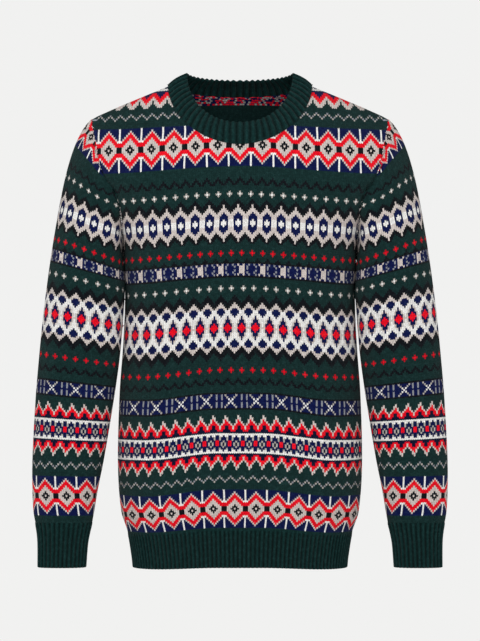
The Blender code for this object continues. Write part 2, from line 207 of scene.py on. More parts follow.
# One letter to a stitch, the top row first
TEETH = (
    "ddddddd", "rrddddr", "brrddrr", "brrddrr", "gbrrrrb", "ggbrrbg", "ggbrbgg", "gggbbgg", "gggbggg",
)
MOTIFS = {
    "plain": ("g",),
    "line": ("k",),
    "diamonds": mirrored(
        "wnnnnnnnnnnn", "wnnnnnbnnnnn", "wnnnnbrbnnnn", "wnnnbrrrbnnn", "wnnbrrrrrbnn", "wnbrrrbrrrbn",
        "wwrrrbbbrrrw", "rrrrbbbbbrrr", "rrrbbbkbbbrr", "kkbbbkkkbbbk", "kkbbkkbkkbbk",
    ),
    "fine zigzag": ("sggggg", "gfgggf", "ggsgsg", "gggfgg"),
    "dark zigzag": ("kggggg", "kkgggk", "gkkgkk", "ggkkkg"),
    "red crosses": ("gmgggg", "mrmggg", "gmgggg"),
    "pale crosses": ("gfgggg", "fwfggg", "gfgggg"),
    "wide crosses": ("gfgggggfggggg", "fwfgggfwfgggg", "gfgggggfggggg"),
    "teeth": TEETH,
    "peaks": TEETH[::-1],
    "shoulder teeth": (
        "nnnnnnnn", "rrnnnnnr", "rrrnnnrr", "brrrnrrr", "bbrrrrrb", "gbbrrrbb", "gbbbrbbb", "ggbbbbbg",
        "gggbbbgg",
    ),
    "rings": (
        "wwwwwww", "nnwwnww", "nnfnnnf", "nnfnnnf", "rrnnfnn", "rrnfdfn", "rrnfdfn", "nnnnfnn",
        "nnfnnnf", "nnwwnww", "wwwwwww",
    ),
    "kisses": mirrored("fnnnnnfnnsnnsn", "nfnnnfnnnsnnsn", "nnwnwnnnnsnnsn", "nnnwnnnnnnnnnn"),
    "blocks": (
        "snnbnnbnnsnn", "nsnnbbbnsnnn", "nnnnbbbnsnnn", "nsnnbbbnnnnn", "snnnbbbnsnnn", "nsnbnnbnnsnn",
    ),
    "bumps": ("gkgggg", "kkkggg"),
    "lozenges": (
        "ggggkggg", "gggkkkgg", "ggkkkkkg", "gkkkbkkk", "kkkkbkkk", "kkkbbbkk", "kkbbbbbk", "kbbbnbbb",
        "bbbnnnbb", "bbnnnnnb", "bbnnnnnb", "wwnnwnnw", "wwnwwwnw", "wwnwwwnw", "wwnnwnnw", "bbnnnnnb",
        "bbnnnnnb", "bbbnnnbb", "kbbbnbbb", "kkbbbbbk", "kkkbbbkk", "gkkkbkkk", "ggkkbkkg", "gggkkkgg",
    ),
    "lattice": mirrored(
        "kggggggg", "kkgggggk", "kkkgggkk", "kkkkgkkk", "bkkkkkkk", "bbkkkkkb", "bbbkkkbb", "nnbbkbbn",
        "nnnwwwnn", "nnnwwwnn", "nnwwwwwn", "nwwwnwww", "wwwbnbww", "wwbnnnbw", "wwbnnnbw", "wbnnrnnb",
        "wbnrrrnb", "bbrrrrrb",
    ),
}

# From the welt up: the motif, its rows, the stitch that its repeat starts on, counted from the middle
# of the body and from the outer line of a sleeve, how high its top lies at the middle of the body, and
# how many rows more it has on a sleeve
Band = namedtuple("Band", "motif rows body_start sleeve_start top_mm more_on_sleeve", defaults=(0,))
BANDS = rows_of(
    Band,
    ("plain", 1, 0, 0, -636.2),
    ("diamonds", 21, -9, -4, -581.1),
    ("plain", 4, 0, 0, -570.6),
    ("fine zigzag", 4, 1, -1, -560.8),
    ("plain", 3, 0, 0, -552.6),
    ("teeth", 9, -5, 2, -529.2),
    ("rings", 11, 1, 4, -500.5),
    ("peaks", 9, -4, -2, -474.9),
    ("plain", 3, 0, 0, -466.8),
    ("line", 1, 0, 0, -464.2),
    ("kisses", 7, -8, 0, -444.6),
    ("line", 1, 0, 0, -442.3),
    ("plain", 4, 0, 0, -431.4),
    ("dark zigzag", 4, -1, 0, -421.1),
    ("plain", 3, 0, 0, -414.2),
    ("red crosses", 3, 0, -1, -405.9),
    ("plain", 3, 0, 0, -397.1),
    ("lattice", 35, -3, -4, -302.0),
    ("plain", 2, 0, 0, -296.8),
    ("wide crosses", 3, 1, 0, -288.5),
    ("plain", 4, 0, 0, -277.3),
    ("line", 1, 0, 0, -274.5),
    ("blocks", 6, -4, 0, -257.5),
    ("line", 1, 0, 0, -255.0),
    ("bumps", 2, -3, 0, -250.1),
    ("plain", 1, 0, 0, -246.3),
    ("red crosses", 3, 0, 0, -238.0),
    ("plain", 3, 0, 0, -228.3),
    ("lozenges", 24, -5, -2, -164.4),
    ("plain", 1, 0, 0, -161.3, 2),
    ("pale crosses", 3, -1, 2, -153.0),
    ("plain", 3, 0, 0, -144.8),
    ("dark zigzag", 4, 0, 0, -132.7),
    ("plain", 5, 0, 0, -116.8, 3),
    ("diamonds", 21, -6, -5, -55.6),
    ("plain", 4, 0, 0, -43.9),
    ("fine zigzag", 4, 0, 0, -33.9),
    ("plain", 3, 0, 0, -26.3),
    ("shoulder teeth", 9, 0, 0, -0.5),
    ("rings", 11, 0, 0, 31.1),
)
FIRST_COURSE_MM = -637.2
TOP_COURSES_OVER = 0.012  # how far the courses of a panel go on above the neck point
HALF_PANEL_STITCHES = 80  # from the middle of a panel to its side seam, and half a stitch more
CHEST_STITCH = 0.00258  # width of a stitch above the underarm
SHOULDER_STITCH = 0.00266
CHEST_TOP = -0.165
SHOULDER_STITCH_OVER = 0.050  # height above the chest over which the stitch widens
FREE_STITCH_OVER = 0.030  # height above the underarm over which it stops filling the panel
LOWEST_TOP_EDGE = -0.095  # a little under the lowest place of the neckline
STRETCH_ROUND_SIDES = 0.6  # under 1 the stitches widen where the form turns to its sides
SLEEVE_STITCH = 0.00256
SLEEVE_COURSE = 0.002735
TUBE_COURSES = (SLEEVE[0].outer_z - SLEEVE[-1].outer_z) / SLEEVE_COURSE
HEAD_COURSE = 0.00288
HEAD_DROOP = 2.1  # how fast the courses of the sleeve head tilt towards the armhole on their way up
TUBE_STEPS = 48
HALVINGS = 26  # enough to find a height in the sleeve's table to a thousandth of a millimetre
HEAD_LINES = 40  # lines up a half of the sleeve head, and the steps of each
HEAD_STEPS = 24
CUFF_PLAIN_COURSES = 4
WELT_PLAIN_COURSES = 2
STITCH_DROP = 0.24  # how far the middle of a stitch dips and its sides rise, in courses
WANDER = 0.0011  # how far the stitches stray from their places
CALM_LEGS = 8  # and how near to a seam they start to
CALM_ROWS = 6
CLOTH = 0.0022
RIB_CLOTH = 0.0030
SEAM_DIP = 0.0009
SEAM_DIP_REACH = 0.007
MERGE_WITHIN = 4e-6
BLOCK_ROWS = 4  # faces of the sheet under one large face of its hidden side
BLOCK_COLUMNS = 6

# Courses sag from the middle of the body to its sides, less at the hem and at the shoulders
HEM_SAG = 0.0037
MORE_SAG = 0.0071
MORE_SAG_OVER = 0.100
SHOULDER_SAG_LOSS = 0.4
SHOULDER_SAG_FROM = -0.140
SHOULDER_SAG_OVER = 0.080
LEVEL_MIDDLE = 0.030
LEVEL_MIDDLE_UNDER = -0.25
LEVEL_MIDDLE_OVER = 0.20
SAG_END_LOW = 0.140
SAG_END_HIGH = 0.190
SAG_END_FROM = -0.457
SAG_END_OVER = 0.26

# The ribbed bands. Their lengths set how many ribs they have
NECKBAND_HEIGHT = 0.033
NECKBAND_LENGTH = 0.583
NECKBAND_STRETCH = 1.52  # its ribs lie wider apart than the others, and stand higher
NECKBAND_RELIEF = 1.2
WELT_HEIGHT = 0.056
WELT_LENGTH = 0.450
WELT_EDGE = HEM_HEIGHT + 0.004  # the hem at its middle, over the sag of its sides
WELT_STEPS = 8
CUFF_HEIGHT = 0.064
CUFF_LENGTH = 0.200
RIB_COURSE = 0.0027
RIB_COLUMNS = 8  # columns of faces to a rib
RIB_FULLNESS = 0.8  # under 1 the ribs are fuller than their grooves
RIB_MEAN = 0.62  # where the cloth's own face lies between groove and rib
RIB_AT_SEAM = 0.35  # share of a rib's height that it has at the seam
RIB_GROWS_OVER = 0.10  # share of the band's height in which it gets the rest
LOOK_ALONG = 0.02  # share of the band's height in which its way up is measured


def blend(start, end, share):
    return start + (end - start) * share


def ease(share):
    """0 to 1 with level ends."""
    share = min(max(share, 0.0), 1.0)
    return share * share * (3.0 - 2.0 * share)


def between(table, where):
    """The row of a table at a place between its rows, on a smooth curve through them."""
    first = min(max(int(where), 0), len(table) - 2)
    share = where - first
    before, start = table[max(first - 1, 0)], table[first]
    end, after = table[first + 1], table[min(first + 2, len(table) - 1)]
    values = []
    for p0, p1, p2, p3 in zip(before, start, end, after):
        slope_in, slope_out = (p2 - p0) / 2, (p3 - p1) / 2
        turn = 3 * (p2 - p1) - 2 * slope_in - slope_out
        settle = slope_in + slope_out - 2 * (p2 - p1)
        values.append(p1 + share * (slope_in + share * (turn + share * settle)))
    return type(start)(*values)


def at_height(table, height):
    """The row of a table, ordered upwards, at a height."""
    height = min(max(height, table[0].height), table[-1].height)
    first = 0
    while first < len(table) - 2 and table[first + 1].height < height:
        first += 1
    low, high = table[first].height, table[first + 1].height
    return between(table, first + (height - low) / (high - low))


class FineTable:
    """A table read off at every millimetre, which is quick to look up."""

    def __init__(self, table):
        self.low = table[0].height
        steps = int((table[-1].height - self.low) / MM) + 1
        self.rows = [at_height(table, self.low + i * MM) for i in range(steps + 1)]

    def at(self, height):
        where = min(max((height - self.low) / MM, 0.0), len(self.rows) - 1.001)
        first = int(where)
        share = where - first
        return [a + (b - a) * share for a, b in zip(self.rows[first], self.rows[first + 1])]


def squarer(turn, power):
    """A sine or cosine bent so that it draws a rounded square's outline in place of a circle's."""
    return abs(turn) ** (2 / power) * (1 if turn > 0 else -1)


def section(share):
    """Depth of the body's section at a share of its half width, as a share of its whole depth."""
    return max(1.0 - abs(share) ** SECTION_POWER, 0.0) ** (1.0 / SECTION_POWER)


def ridge_height(x):
    """Height of the shoulder seam's line at a distance from the middle."""
    out = (x * x + RIDGE_BLUNTING**2) ** 0.5 - NECK_POINT_X
    along = max(out, 0.0) / (SHOULDER_TIP_X - NECK_POINT_X)
    return NECK_POINT_Z - SHOULDER_FALL * out - SHOULDER_ROLL * along**4


def shoulder_share(side, x, z):
    """How much of its depth the front or back has kept at a place, on its way up to the shoulder seam."""
    below = min(max(ridge_height(x) - z, 0.0) / SHOULDER_RUN[side], 1.0)
    return (1.0 - (1.0 - below) ** 2) ** SHOULDER_CURVE


FINE_BODY = FineTable(BODY)
FINE_ARMHOLE = {FRONT: FineTable(FRONT_ARMHOLE), BACK: FineTable(BACK_ARMHOLE)}


def fold_height(side, x, z):
    """How far the soft folds lift the cloth at a place."""
    lift = 0.0
    for fold in FOLDS[side]:
        if abs(x - fold.x) < fold.half_width and fold.bottom < z < fold.top:
            across = ease(1.0 - abs(x - fold.x) / fold.half_width)
            down = (fold.top - z) / (fold.top - fold.bottom)
            lift += fold.height * across * ease(2.0 * min(down, 1.0 - down))
    return lift


def row_rise(rise, x):
    """How much higher than its sides a row of the body lies at a place."""
    return rise * (1.0 - ease((abs(x) - RISE_LEVEL_TO) / RISE_FALLS_OVER))


def neckline_height(side, x):
    """Height of the neckline seam over a place between the two neck points."""
    turn = min(abs(x) / NECK_POINT_X, 1.0) ** (NECKLINE_POWER / 2)
    return NECK_POINT_Z - NECK_DROP[side] * max(1.0 - turn * turn, 0.0) ** (1 / NECKLINE_POWER)


def top_edge(side, x):
    """Height of a panel's top edge: the neckline seam, then the shoulder seam."""
    if abs(x) < NECK_POINT_X:
        return min(neckline_height(side, x), ridge_height(x))
    return ridge_height(x)


# ---- courses: rows of stitches

class Course:
    """A line across the cloth as points and how far along it each lies, from its middle to one edge."""

    def __init__(self, points, depth_counts=1.0):
        self.points = points
        self.lengths = [0.0]
        for a, b in zip(points, points[1:]):
            step = b - a
            step.y *= depth_counts
            self.lengths.append(self.lengths[-1] + step.length)
        self.total = self.lengths[-1]
        self.hint = 0

    def at(self, distance):
        """The point at a distance along the line."""
        lengths = self.lengths
        if distance >= self.total:
            return self.points[-1]
        if lengths[self.hint] > distance:
            self.hint = 0
        while lengths[self.hint + 1] < distance:
            self.hint += 1
        i = self.hint
        share = (distance - lengths[i]) / (lengths[i + 1] - lengths[i])
        return self.points[i].lerp(self.points[i + 1], share)


def course_droop(height, x):
    """How far a course has sunk at a distance from the middle: it hangs in a shallow arch."""
    deep = HEM_SAG + MORE_SAG * ease((height - HEM_HEIGHT) / MORE_SAG_OVER)
    deep *= 1.0 - SHOULDER_SAG_LOSS * ease((height - SHOULDER_SAG_FROM) / SHOULDER_SAG_OVER)
    start = LEVEL_MIDDLE * ease((LEVEL_MIDDLE_UNDER - height) / LEVEL_MIDDLE_OVER)
    end = blend(SAG_END_LOW, SAG_END_HIGH, ease((height - SAG_END_FROM) / SAG_END_OVER))
    return deep * ease((abs(x) - start) / (end - start))


def body_edge(side, x, z):
    """Half width and depth of the whole body section at a place, and how far out the panel's edge lies."""
    level = ease((UNDERARM_HEIGHT + RISE_ENDS_OVER - z) / RISE_ENDS_OVER)
    rise = FINE_BODY.at(z)[4]
    _, edge, front_depth, back_depth, _ = FINE_BODY.at(z - row_rise(rise, x) * level)
    depth = front_depth if side == FRONT else back_depth
    if z <= UNDERARM_HEIGHT:
        return edge, depth, edge
    seam_x = FINE_ARMHOLE[side].at(z)[1]
    low = min(z, SHOULDER_BLEND)
    _, low_x, low_depth = FINE_ARMHOLE[side].at(low)
    room = depth * shoulder_share(side, low_x, low)
    share = min(low_depth / room, DEEPEST_ARMHOLE) if room > 0 else DEEPEST_ARMHOLE
    full = low_x / (1.0 - share**SECTION_POWER) ** (1.0 / SECTION_POWER)
    return max(full, seam_x), depth, seam_x


def panel_course(side, hand, height):
    """A course of the front or back at a height in the middle, from the middle out to one edge."""
    points = []
    steps = 60
    x = 0.0
    for i in range(steps + 1):
        for _ in range(2):
            z = height - course_droop(height, x)
            edge, depth, seam_x = body_edge(side, x, z)
            seam = seam_x / edge
            last = atan2(seam ** (SECTION_POWER / 2), sqrt(max(1.0 - seam**SECTION_POWER, 0.0)))
            x = edge * sin(i / steps * last) ** (2 / SECTION_POWER)
        lift = (depth + fold_height(side, hand * x, z)) * section(x / edge)
        points.append(Vector((hand * x, side * lift * shoulder_share(side, x, z), z)))
    return Course(points, STRETCH_ROUND_SIDES)


def seam_valley(distance):
    """How far the cloth dips beside a seam."""
    near = max(1.0 - distance / SEAM_DIP_REACH, 0.0)
    return -SEAM_DIP * near * near


# ---- knitted cloth

def uneven(distance, height, part):
    """A small wander of the stitches from their places, in waves of 25 to 33 mm, as in real knitting."""
    return WANDER * noise.noise(Vector((distance * 30, height * 40, part * 7.0)))


def knit_grid(legs, courses):
    """A sheet. A stitch has two columns, its left and right legs, and a course has one row."""
    bm = bmesh.new()
    bmesh.ops.create_grid(bm, x_segments=legs, y_segments=courses, size=0.5)
    bm.verts.ensure_lookup_table()
    return bm


def chart_colours(rows, legs, first_leg):
    """The yarn of every face of a sheet, course by course."""
    colours = []
    for row in rows:
        for leg in range(legs):
            stitch = (first_leg + leg + 1) // 2
            colours.append(row[stitch % len(row)])
    return colours


def mark_stitches(bm, colours, legs, first_leg):
    """Gives each face its yarn, each corner its place in stitches and courses, and each face its block."""
    yarn = bm.loops.layers.float.new("yarn")
    place = bm.loops.layers.uv.new("knit")
    block = bm.faces.layers.int.new("block")
    across = legs + 1
    numbers = {letter: (i + 0.5) / len(YARNS) for i, letter in enumerate(YARNS)}
    for face, letter in zip(bm.faces, colours):
        number = numbers[letter]
        for loop in face.loops:
            row, column = divmod(loop.vert.index, across)
            loop[place].uv = ((column + first_leg) / 2 + 0.5, row)
            loop[yarn] = number
        row, column = divmod(face.index, legs)
        face[block] = row // BLOCK_ROWS * legs + column // BLOCK_COLUMNS + 1
    return block


def settle(bm, relief):
    """Merges what the seams have cut off, then lifts the cloth along its own normals."""
    lift = bm.verts.layers.float.new("lift")
    for vert, height in zip(bm.verts, relief):
        vert[lift] = height
    bmesh.ops.remove_doubles(bm, verts=bm.verts, dist=MERGE_WITHIN)
    bmesh.ops.dissolve_degenerate(bm, edges=bm.edges, dist=MERGE_WITHIN)
    bm.normal_update()
    for vert in bm.verts:
        vert.co += vert.normal * vert[lift]


def line_inside(bm, block):
    """Gives the cloth its thickness. Its hidden side needs only large faces away from the seams."""
    twin = bm.verts.layers.int.new("twin")
    bm.normal_update()
    hidden = []
    for i, vert in enumerate(bm.verts):
        vert[twin] = i
        hidden.append(vert.co - vert.normal * CLOTH)
    made = bmesh.ops.solidify(bm, geom=list(bm.faces), thickness=CLOTH)
    inner = {item for item in made["geom"] if isinstance(item, bmesh.types.BMFace)}
    rim = {v for f in bm.faces if f not in inner and f[block] == 0 for v in f.verts}
    spare = []
    for face in bm.faces:  # not over the set, whose order changes from run to run
        if face not in inner:
            continue
        face.material_index = 1
        for vert in face.verts:
            vert.co = hidden[vert[twin]]
        for edge in face.edges:
            a, b = edge.link_faces[0], edge.link_faces[-1]
            if a == face and b in inner and a[block] == b[block]:
                if not any(v in rim for v in edge.verts):
                    spare.append(edge)
    bmesh.ops.dissolve_edges(bm, edges=spare, use_verts=True)


def finish_cloth(bm, name, node, materials):
    """Makes the object of a piece, hides the frame's part that it takes the place of, and hangs it from the
    root.
    """
    mesh = bpy.data.meshes.new(name)
    bm.to_mesh(mesh)
    bm.free()
    mesh.shade_smooth()
    mesh.set_sharp_from_angle(angle=radians(60))
    piece = bpy.data.objects.new(name, mesh)
    bpy.context.scene.collection.objects.link(piece)
    for material in materials:
        mesh.materials.append(material)
    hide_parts(node)
    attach(piece, "root")
    return piece


def knit_up(bm, node, rows, half, relief, materials):
    """Gives a sheet the yarns of its chart, its seams and its thickness, and makes it a piece."""
    block = mark_stitches(bm, chart_colours(rows, 2 * half, -half), 2 * half, -half)
    settle(bm, relief)
    line_inside(bm, block)
    return finish_cloth(bm, f"{node}_knit", node, materials)


def band_rows(bands, start_name):
    """The chart's rows from the bottom up, each with the stitch that it starts on."""
    rows = []
    for band in bands:
        motif = MOTIFS[band.motif]
        start = getattr(band, start_name)
        more = band.more_on_sleeve if start_name == "sleeve_start" else 0
        for i in range(band.rows + more):
            line = motif[-1 - (i % len(motif))]
            start_at = start % len(line)
            rows.append(line[len(line) - start_at:] + line[: len(line) - start_at])
    return rows


def course_heights():
    """Height of every course line of the body, at its middle."""
    low = FIRST_COURSE_MM * MM
    heights = [low]
    for band in BANDS:
        top = band.top_mm * MM
        heights += [blend(low, top, (i + 1) / band.rows) for i in range(band.rows)]
        low = top
    return heights


def trim_to_edge(side, point, limit, last):
    """The next point of a column of stitches, which stays where the column meets the panel's top edge.

    last and the result hold a point, its gap under the edge and whether the column has met it.
    """
    if last and last[2]:
        return last
    if point.z <= limit:
        return point, limit - point.z, False
    before, gap, _ = last or (point, 1.0, False)
    over = point.z - limit
    share = gap / (gap + over) if gap + over > 0 else 1.0
    point = before.lerp(point, share)
    point.z = top_edge(side, point.x)
    if abs(point.x) >= NECK_POINT_X:
        point.y = 0.0
    return point, 0.0, True


def knit_panel(side, node, materials):
    """The front or back, knitted from its welt up and cut at the neckline, shoulders and armholes."""
    heights = course_heights()
    highest = NECK_POINT_Z + TOP_COURSES_OVER
    courses = sum(1 for h in heights if h < highest)
    half = 2 * HALF_PANEL_STITCHES + 1
    legs = 2 * half
    bm = knit_grid(legs, courses)
    relief = [0.0] * len(bm.verts)
    columns = {}
    for row in range(courses + 1):
        low = heights[max(row - 1, 0)]
        high = heights[min(row + 1, len(heights) - 1)]
        here = heights[row]
        dip = STITCH_DROP * (here - low) if row else 0.0
        lift = STITCH_DROP * (high - here) if row else 0.0
        fit = ease((UNDERARM_HEIGHT - here) / FREE_STITCH_OVER + 1.0)
        free = blend(CHEST_STITCH, SHOULDER_STITCH, ease((here - CHEST_TOP) / SHOULDER_STITCH_OVER))
        for hand in (LEFT, RIGHT):
            edges = panel_course(side, hand, here + lift)
            middles = panel_course(side, hand, here - dip)
            stitch = blend(free, edges.total / (half / 2), fit)
            for leg in range(half + 1):
                if leg == 0 and hand == RIGHT:
                    continue
                line = edges if leg % 2 else middles
                distance = line.total if leg == half else leg / 2 * stitch
                wander = ease(leg / CALM_LEGS) * ease((half - leg) / CALM_LEGS)
                point = line.at(distance + uneven(hand * distance, here, side) * wander).copy()
                point.z += 0.5 * uneven(hand * distance, here, side + 0.5) * ease(row / CALM_ROWS)
                limit = top_edge(side, point.x) if here > LOWEST_TOP_EDGE else 1.0
                key = leg * hand
                columns[key] = trim_to_edge(side, point, limit, columns.get(key))
                index = row * (legs + 1) + half - key * side
                bm.verts[index].co = columns[key][0]
                if here > UNDERARM_HEIGHT:
                    relief[index] = seam_valley(max(line.total - distance, 0.0))
    return knit_up(bm, node, band_rows(BANDS, "body_start"), half, relief, materials)


# ---- sleeves

def ring_point(row, turn, hand):
    """A point of a sleeve's row. turn runs from the outer line round the front, to half a turn."""
    outer = Vector((hand * row.outer_x, 0.0, row.outer_z))
    inner = Vector((hand * row.inner_x, 0.0, row.inner_z))
    depth = row.half_depth * squarer(sin(turn), SLEEVE_POWER) + row.forward
    middle = (outer + inner) / 2 + (outer - inner) / 2 * squarer(cos(turn), SLEEVE_POWER)
    return middle - Vector((0.0, depth, 0.0))


def armhole_point(turn, hand):
    """A point of the armhole seam. turn runs from the tip of the shoulder, half a turn each way."""
    side = FRONT if turn >= 0 else BACK
    up = 1.0 - (abs(turn) / pi) ** ARMHOLE_SPACING
    z = blend(UNDERARM_HEIGHT, ridge_height(SHOULDER_TIP_X), up)
    x = FINE_ARMHOLE[side].at(z)[1]
    edge, depth, _ = body_edge(side, x, z)
    return Vector((hand * x, side * depth * section(x / edge) * shoulder_share(side, x, z), z))


def head_point(turn, t, hand):
    """A point of the sleeve head, from the armhole at 0 to the first whole row of the sleeve at 1."""
    top = cos(turn / 2) ** 2
    leave = HEAD_START_UNDERARM.lerp(HEAD_START_TOP, top)
    arrive = HEAD_END_UNDERARM.lerp(HEAD_END_TOP, top)
    leave, arrive = (Vector((hand * v.x, v.y, v.z)) for v in (leave, arrive))
    point = armhole_point(turn, hand) * (2 * t**3 - 3 * t**2 + 1) + leave * (t**3 - 2 * t**2 + t)
    return point + ring_point(SLEEVE[0], turn, hand) * (3 * t**2 - 2 * t**3) + arrive * (t**3 - t**2)


def sleeve_place(outer_z):
    """Where in the sleeve's table its outer line has a height."""
    low, high = 0.0, len(SLEEVE) - 1.0
    for _ in range(HALVINGS):
        middle = (low + high) / 2
        if between(SLEEVE, middle).outer_z > outer_z:
            low = middle
        else:
            high = middle
    return (low + high) / 2


def head_droop(up, turn):
    """How much lower than at the outer line a course of the sleeve head lies."""
    return HEAD_DROOP * max(up, 0.0) ** 2 * (1.0 - cos(turn)) / 2


def sleeve_course(hand, way, number, head_lines):
    """A course of a sleeve, from its outer line round the front (way 1) or back (way -1).

    A course is whole if it reaches the seam under the arm, and ends at the armhole if not.
    """
    up = (number - TUBE_COURSES) * HEAD_COURSE
    if up <= 0:
        row = between(SLEEVE, sleeve_place(SLEEVE[-1].outer_z + number * SLEEVE_COURSE))
        turns = [way * pi * i / TUBE_STEPS for i in range(TUBE_STEPS + 1)]
        course = Course([ring_point(row, turn, hand) for turn in turns])
        course.turns, course.whole = turns, True
        return course
    points, turns = [], []
    room_before = 0.0
    for i, line in enumerate(head_lines):
        turn = way * pi * i / HEAD_LINES
        here = up - head_droop(up, turn)
        room = line.total - here
        if room <= 0:
            if i:
                turn -= way * pi / HEAD_LINES * room / (room - room_before)
            points.append(armhole_point(turn, hand))
            turns.append(turn)
            break
        room_before = room
        points.append(line.at(here))
        turns.append(turn)
    if len(points) < 2:
        return None
    course = Course(points)
    course.turns, course.whole = turns, len(turns) == len(head_lines)
    return course


def turn_at(course, distance):
    """How far round the sleeve the course's point at a distance lies, after at has found it."""
    i = min(course.hint, len(course.turns) - 2)
    span = course.lengths[i + 1] - course.lengths[i]
    share = min((distance - course.lengths[i]) / span, 1.0) if span else 1.0
    return blend(course.turns[i], course.turns[i + 1], max(share, 0.0))


def knit_sleeve(hand, node, materials):
    """A sleeve, knitted from its cuff up. Both halves of a course start at the sleeve's outer line."""
    heads = {}
    for way in (1, -1):
        heads[way] = []
        for i in range(HEAD_LINES + 1):
            turn = way * pi * i / HEAD_LINES
            points = [head_point(turn, 1 - k / HEAD_STEPS, hand) for k in range(HEAD_STEPS + 1)]
            heads[way].append(Course(points))
    courses = int(TUBE_COURSES + heads[1][0].total / HEAD_COURSE) + 2
    half = int(sleeve_course(hand, 1, int(TUBE_COURSES), heads[1]).total / (SLEEVE_STITCH / 2)) + 4
    bm = knit_grid(2 * half, courses)
    relief = [0.0] * len(bm.verts)
    across = 2 * half + 1
    ended = {}
    for row in range(courses + 1):
        shift = STITCH_DROP if row else 0.0
        up = (row - TUBE_COURSES) * HEAD_COURSE
        for way in (1, -1):
            edges = sleeve_course(hand, way, row + shift, heads[way])
            middles = sleeve_course(hand, way, row - shift, heads[way])
            for leg in range(half + 1):
                line = edges if leg % 2 else middles
                distance = leg * SLEEVE_STITCH / 2
                key = leg * way
                gap = 1.0
                if key in ended and ended[key][1]:
                    point = ended[key][0]
                elif line is None or (distance > line.total and not line.whole):
                    turn = ended[key][2] if key in ended else way * pi
                    point = armhole_point(turn, hand)
                    ended[key] = (point, True, turn)
                    gap = 0.0
                else:
                    point = line.at(distance).copy()
                    turn = turn_at(line, distance)
                    ended[key] = (point, False, turn)
                    place = min(abs(turn) / pi * HEAD_LINES, HEAD_LINES - 0.001)
                    first, second = heads[way][int(place)], heads[way][int(place) + 1]
                    gap = blend(first.total, second.total, place % 1) - up + head_droop(max(up, 0.0), turn)
                if leg == 0 and way == -1:
                    continue
                index = row * across + half - key * hand
                bm.verts[index].co = point
                relief[index] = seam_valley(max(gap, 0.0))
    rows = ["g"] * CUFF_PLAIN_COURSES + band_rows(BANDS[1:], "sleeve_start")
    if hand == LEFT:
        rows = [line[0] + line[:0:-1] for line in rows]
    return knit_up(bm, node, rows, half, relief, materials)


# ---- ribs

def neckline_point(turn):
    """A point of the neckline seam. turn runs from the middle of the front, half a turn each way."""
    side = FRONT if abs(turn) <= pi / 2 else BACK
    angle = abs(turn) if side == FRONT else pi - abs(turn)
    x = NECK_POINT_X * max(sin(angle), 0.0) ** (2 / NECKLINE_POWER)
    z = min(neckline_height(side, x), ridge_height(x))
    edge, depth, _ = body_edge(side, x, z)
    y = side * depth * section(x / edge) * shoulder_share(side, x, z)
    return Vector((x if turn > 0 else -x, y if x < NECK_POINT_X - 1e-6 else 0.0, z))


def neckband_point(share, up):
    """A point of the neckband's outside, from its seam at 0 to its free edge at 1."""
    turn = (share * 2.0 - 1.0) * pi
    low = neckline_point(turn)
    side = FRONT if abs(turn) <= pi / 2 else BACK
    out = abs(sin(turn)) ** COLLAR_ROUNDING * (1 if turn > 0 else -1)
    level = abs(cos(turn))
    y = side * COLLAR_DEPTH[side] * level**COLLAR_ROUNDING
    high = Vector((COLLAR_HALF_WIDTH * out, y, COLLAR_TOP - COLLAR_DROP[side] * level))
    away = (Vector((low.x, low.y, 0.0)).normalized() + Vector((0.0, 0.0, 1.0))).normalized()
    lap = 1.0 if side == FRONT else COLLAR_BACK_SHARE
    low -= (high - low).normalized() * COLLAR_OVERLAP * lap * level
    return low.lerp(high, up) + away * (COLLAR_BULGE * sin(pi * up) + COLLAR_STANDS_OFF)


def cuff_point(hand, share, up):
    """A point of a cuff's outside, from the sleeve's end at 0 to its free edge at 1."""
    row = between(CUFF, up * (len(CUFF) - 1))
    return ring_point(row, (share * 2.0 - 1.0) * pi, hand)


def even_places(point_at, count):
    """Shares round a band, evenly spaced along its middle line."""
    fine = 720
    line = Course([point_at(i / fine, 0.5) for i in range(fine + 1)])
    places, k = [], 0
    for i in range(count + 1):
        wanted = line.total * i / count
        while k < fine - 1 and line.lengths[k + 1] < wanted:
            k += 1
        span = line.lengths[k + 1] - line.lengths[k]
        places.append((k + min((wanted - line.lengths[k]) / span, 1.0)) / fine)
    return places, line.total


def rib_profile(height):
    """Round a ribbed band's wall: how far up it each row lies, and how deep under the face."""
    outer, roll, inner = 14, 6, 7
    radius = RIB_CLOTH / 2
    rows = [(i / outer, 0.0) for i in range(outer + 1)]
    for i in range(1, roll):
        angle = pi * i / roll
        rows.append((1.0 + radius * sin(angle) * 0.9 / height, radius * (1 - cos(angle))))
    rows += [(1.0 - i / inner, RIB_CLOTH) for i in range(inner + 1)]
    rows.append((0.0, 0.0))
    return rows


def rib_face(point_at, places, levels, closed):
    """For each level and column of a band's face: the point, its normal and the way up."""
    face = {}
    last = len(places) - 1
    for up in levels:
        line = [point_at(place, up) for place in places]
        low = up <= LOOK_ALONG
        near = [point_at(place, up + LOOK_ALONG if low else up - LOOK_ALONG) for place in places]
        for i, point in enumerate(line):
            before = line[i - 1] if i else (line[-2] if closed else line[0])
            after = line[i + 1] if i < last else (line[1] if closed else line[-1])
            rise = (point - near[i]) * (-1 if low else 1)
            rise.normalize()
            face[up, i] = (point, (after - before).cross(rise).normalized(), rise)
    return face


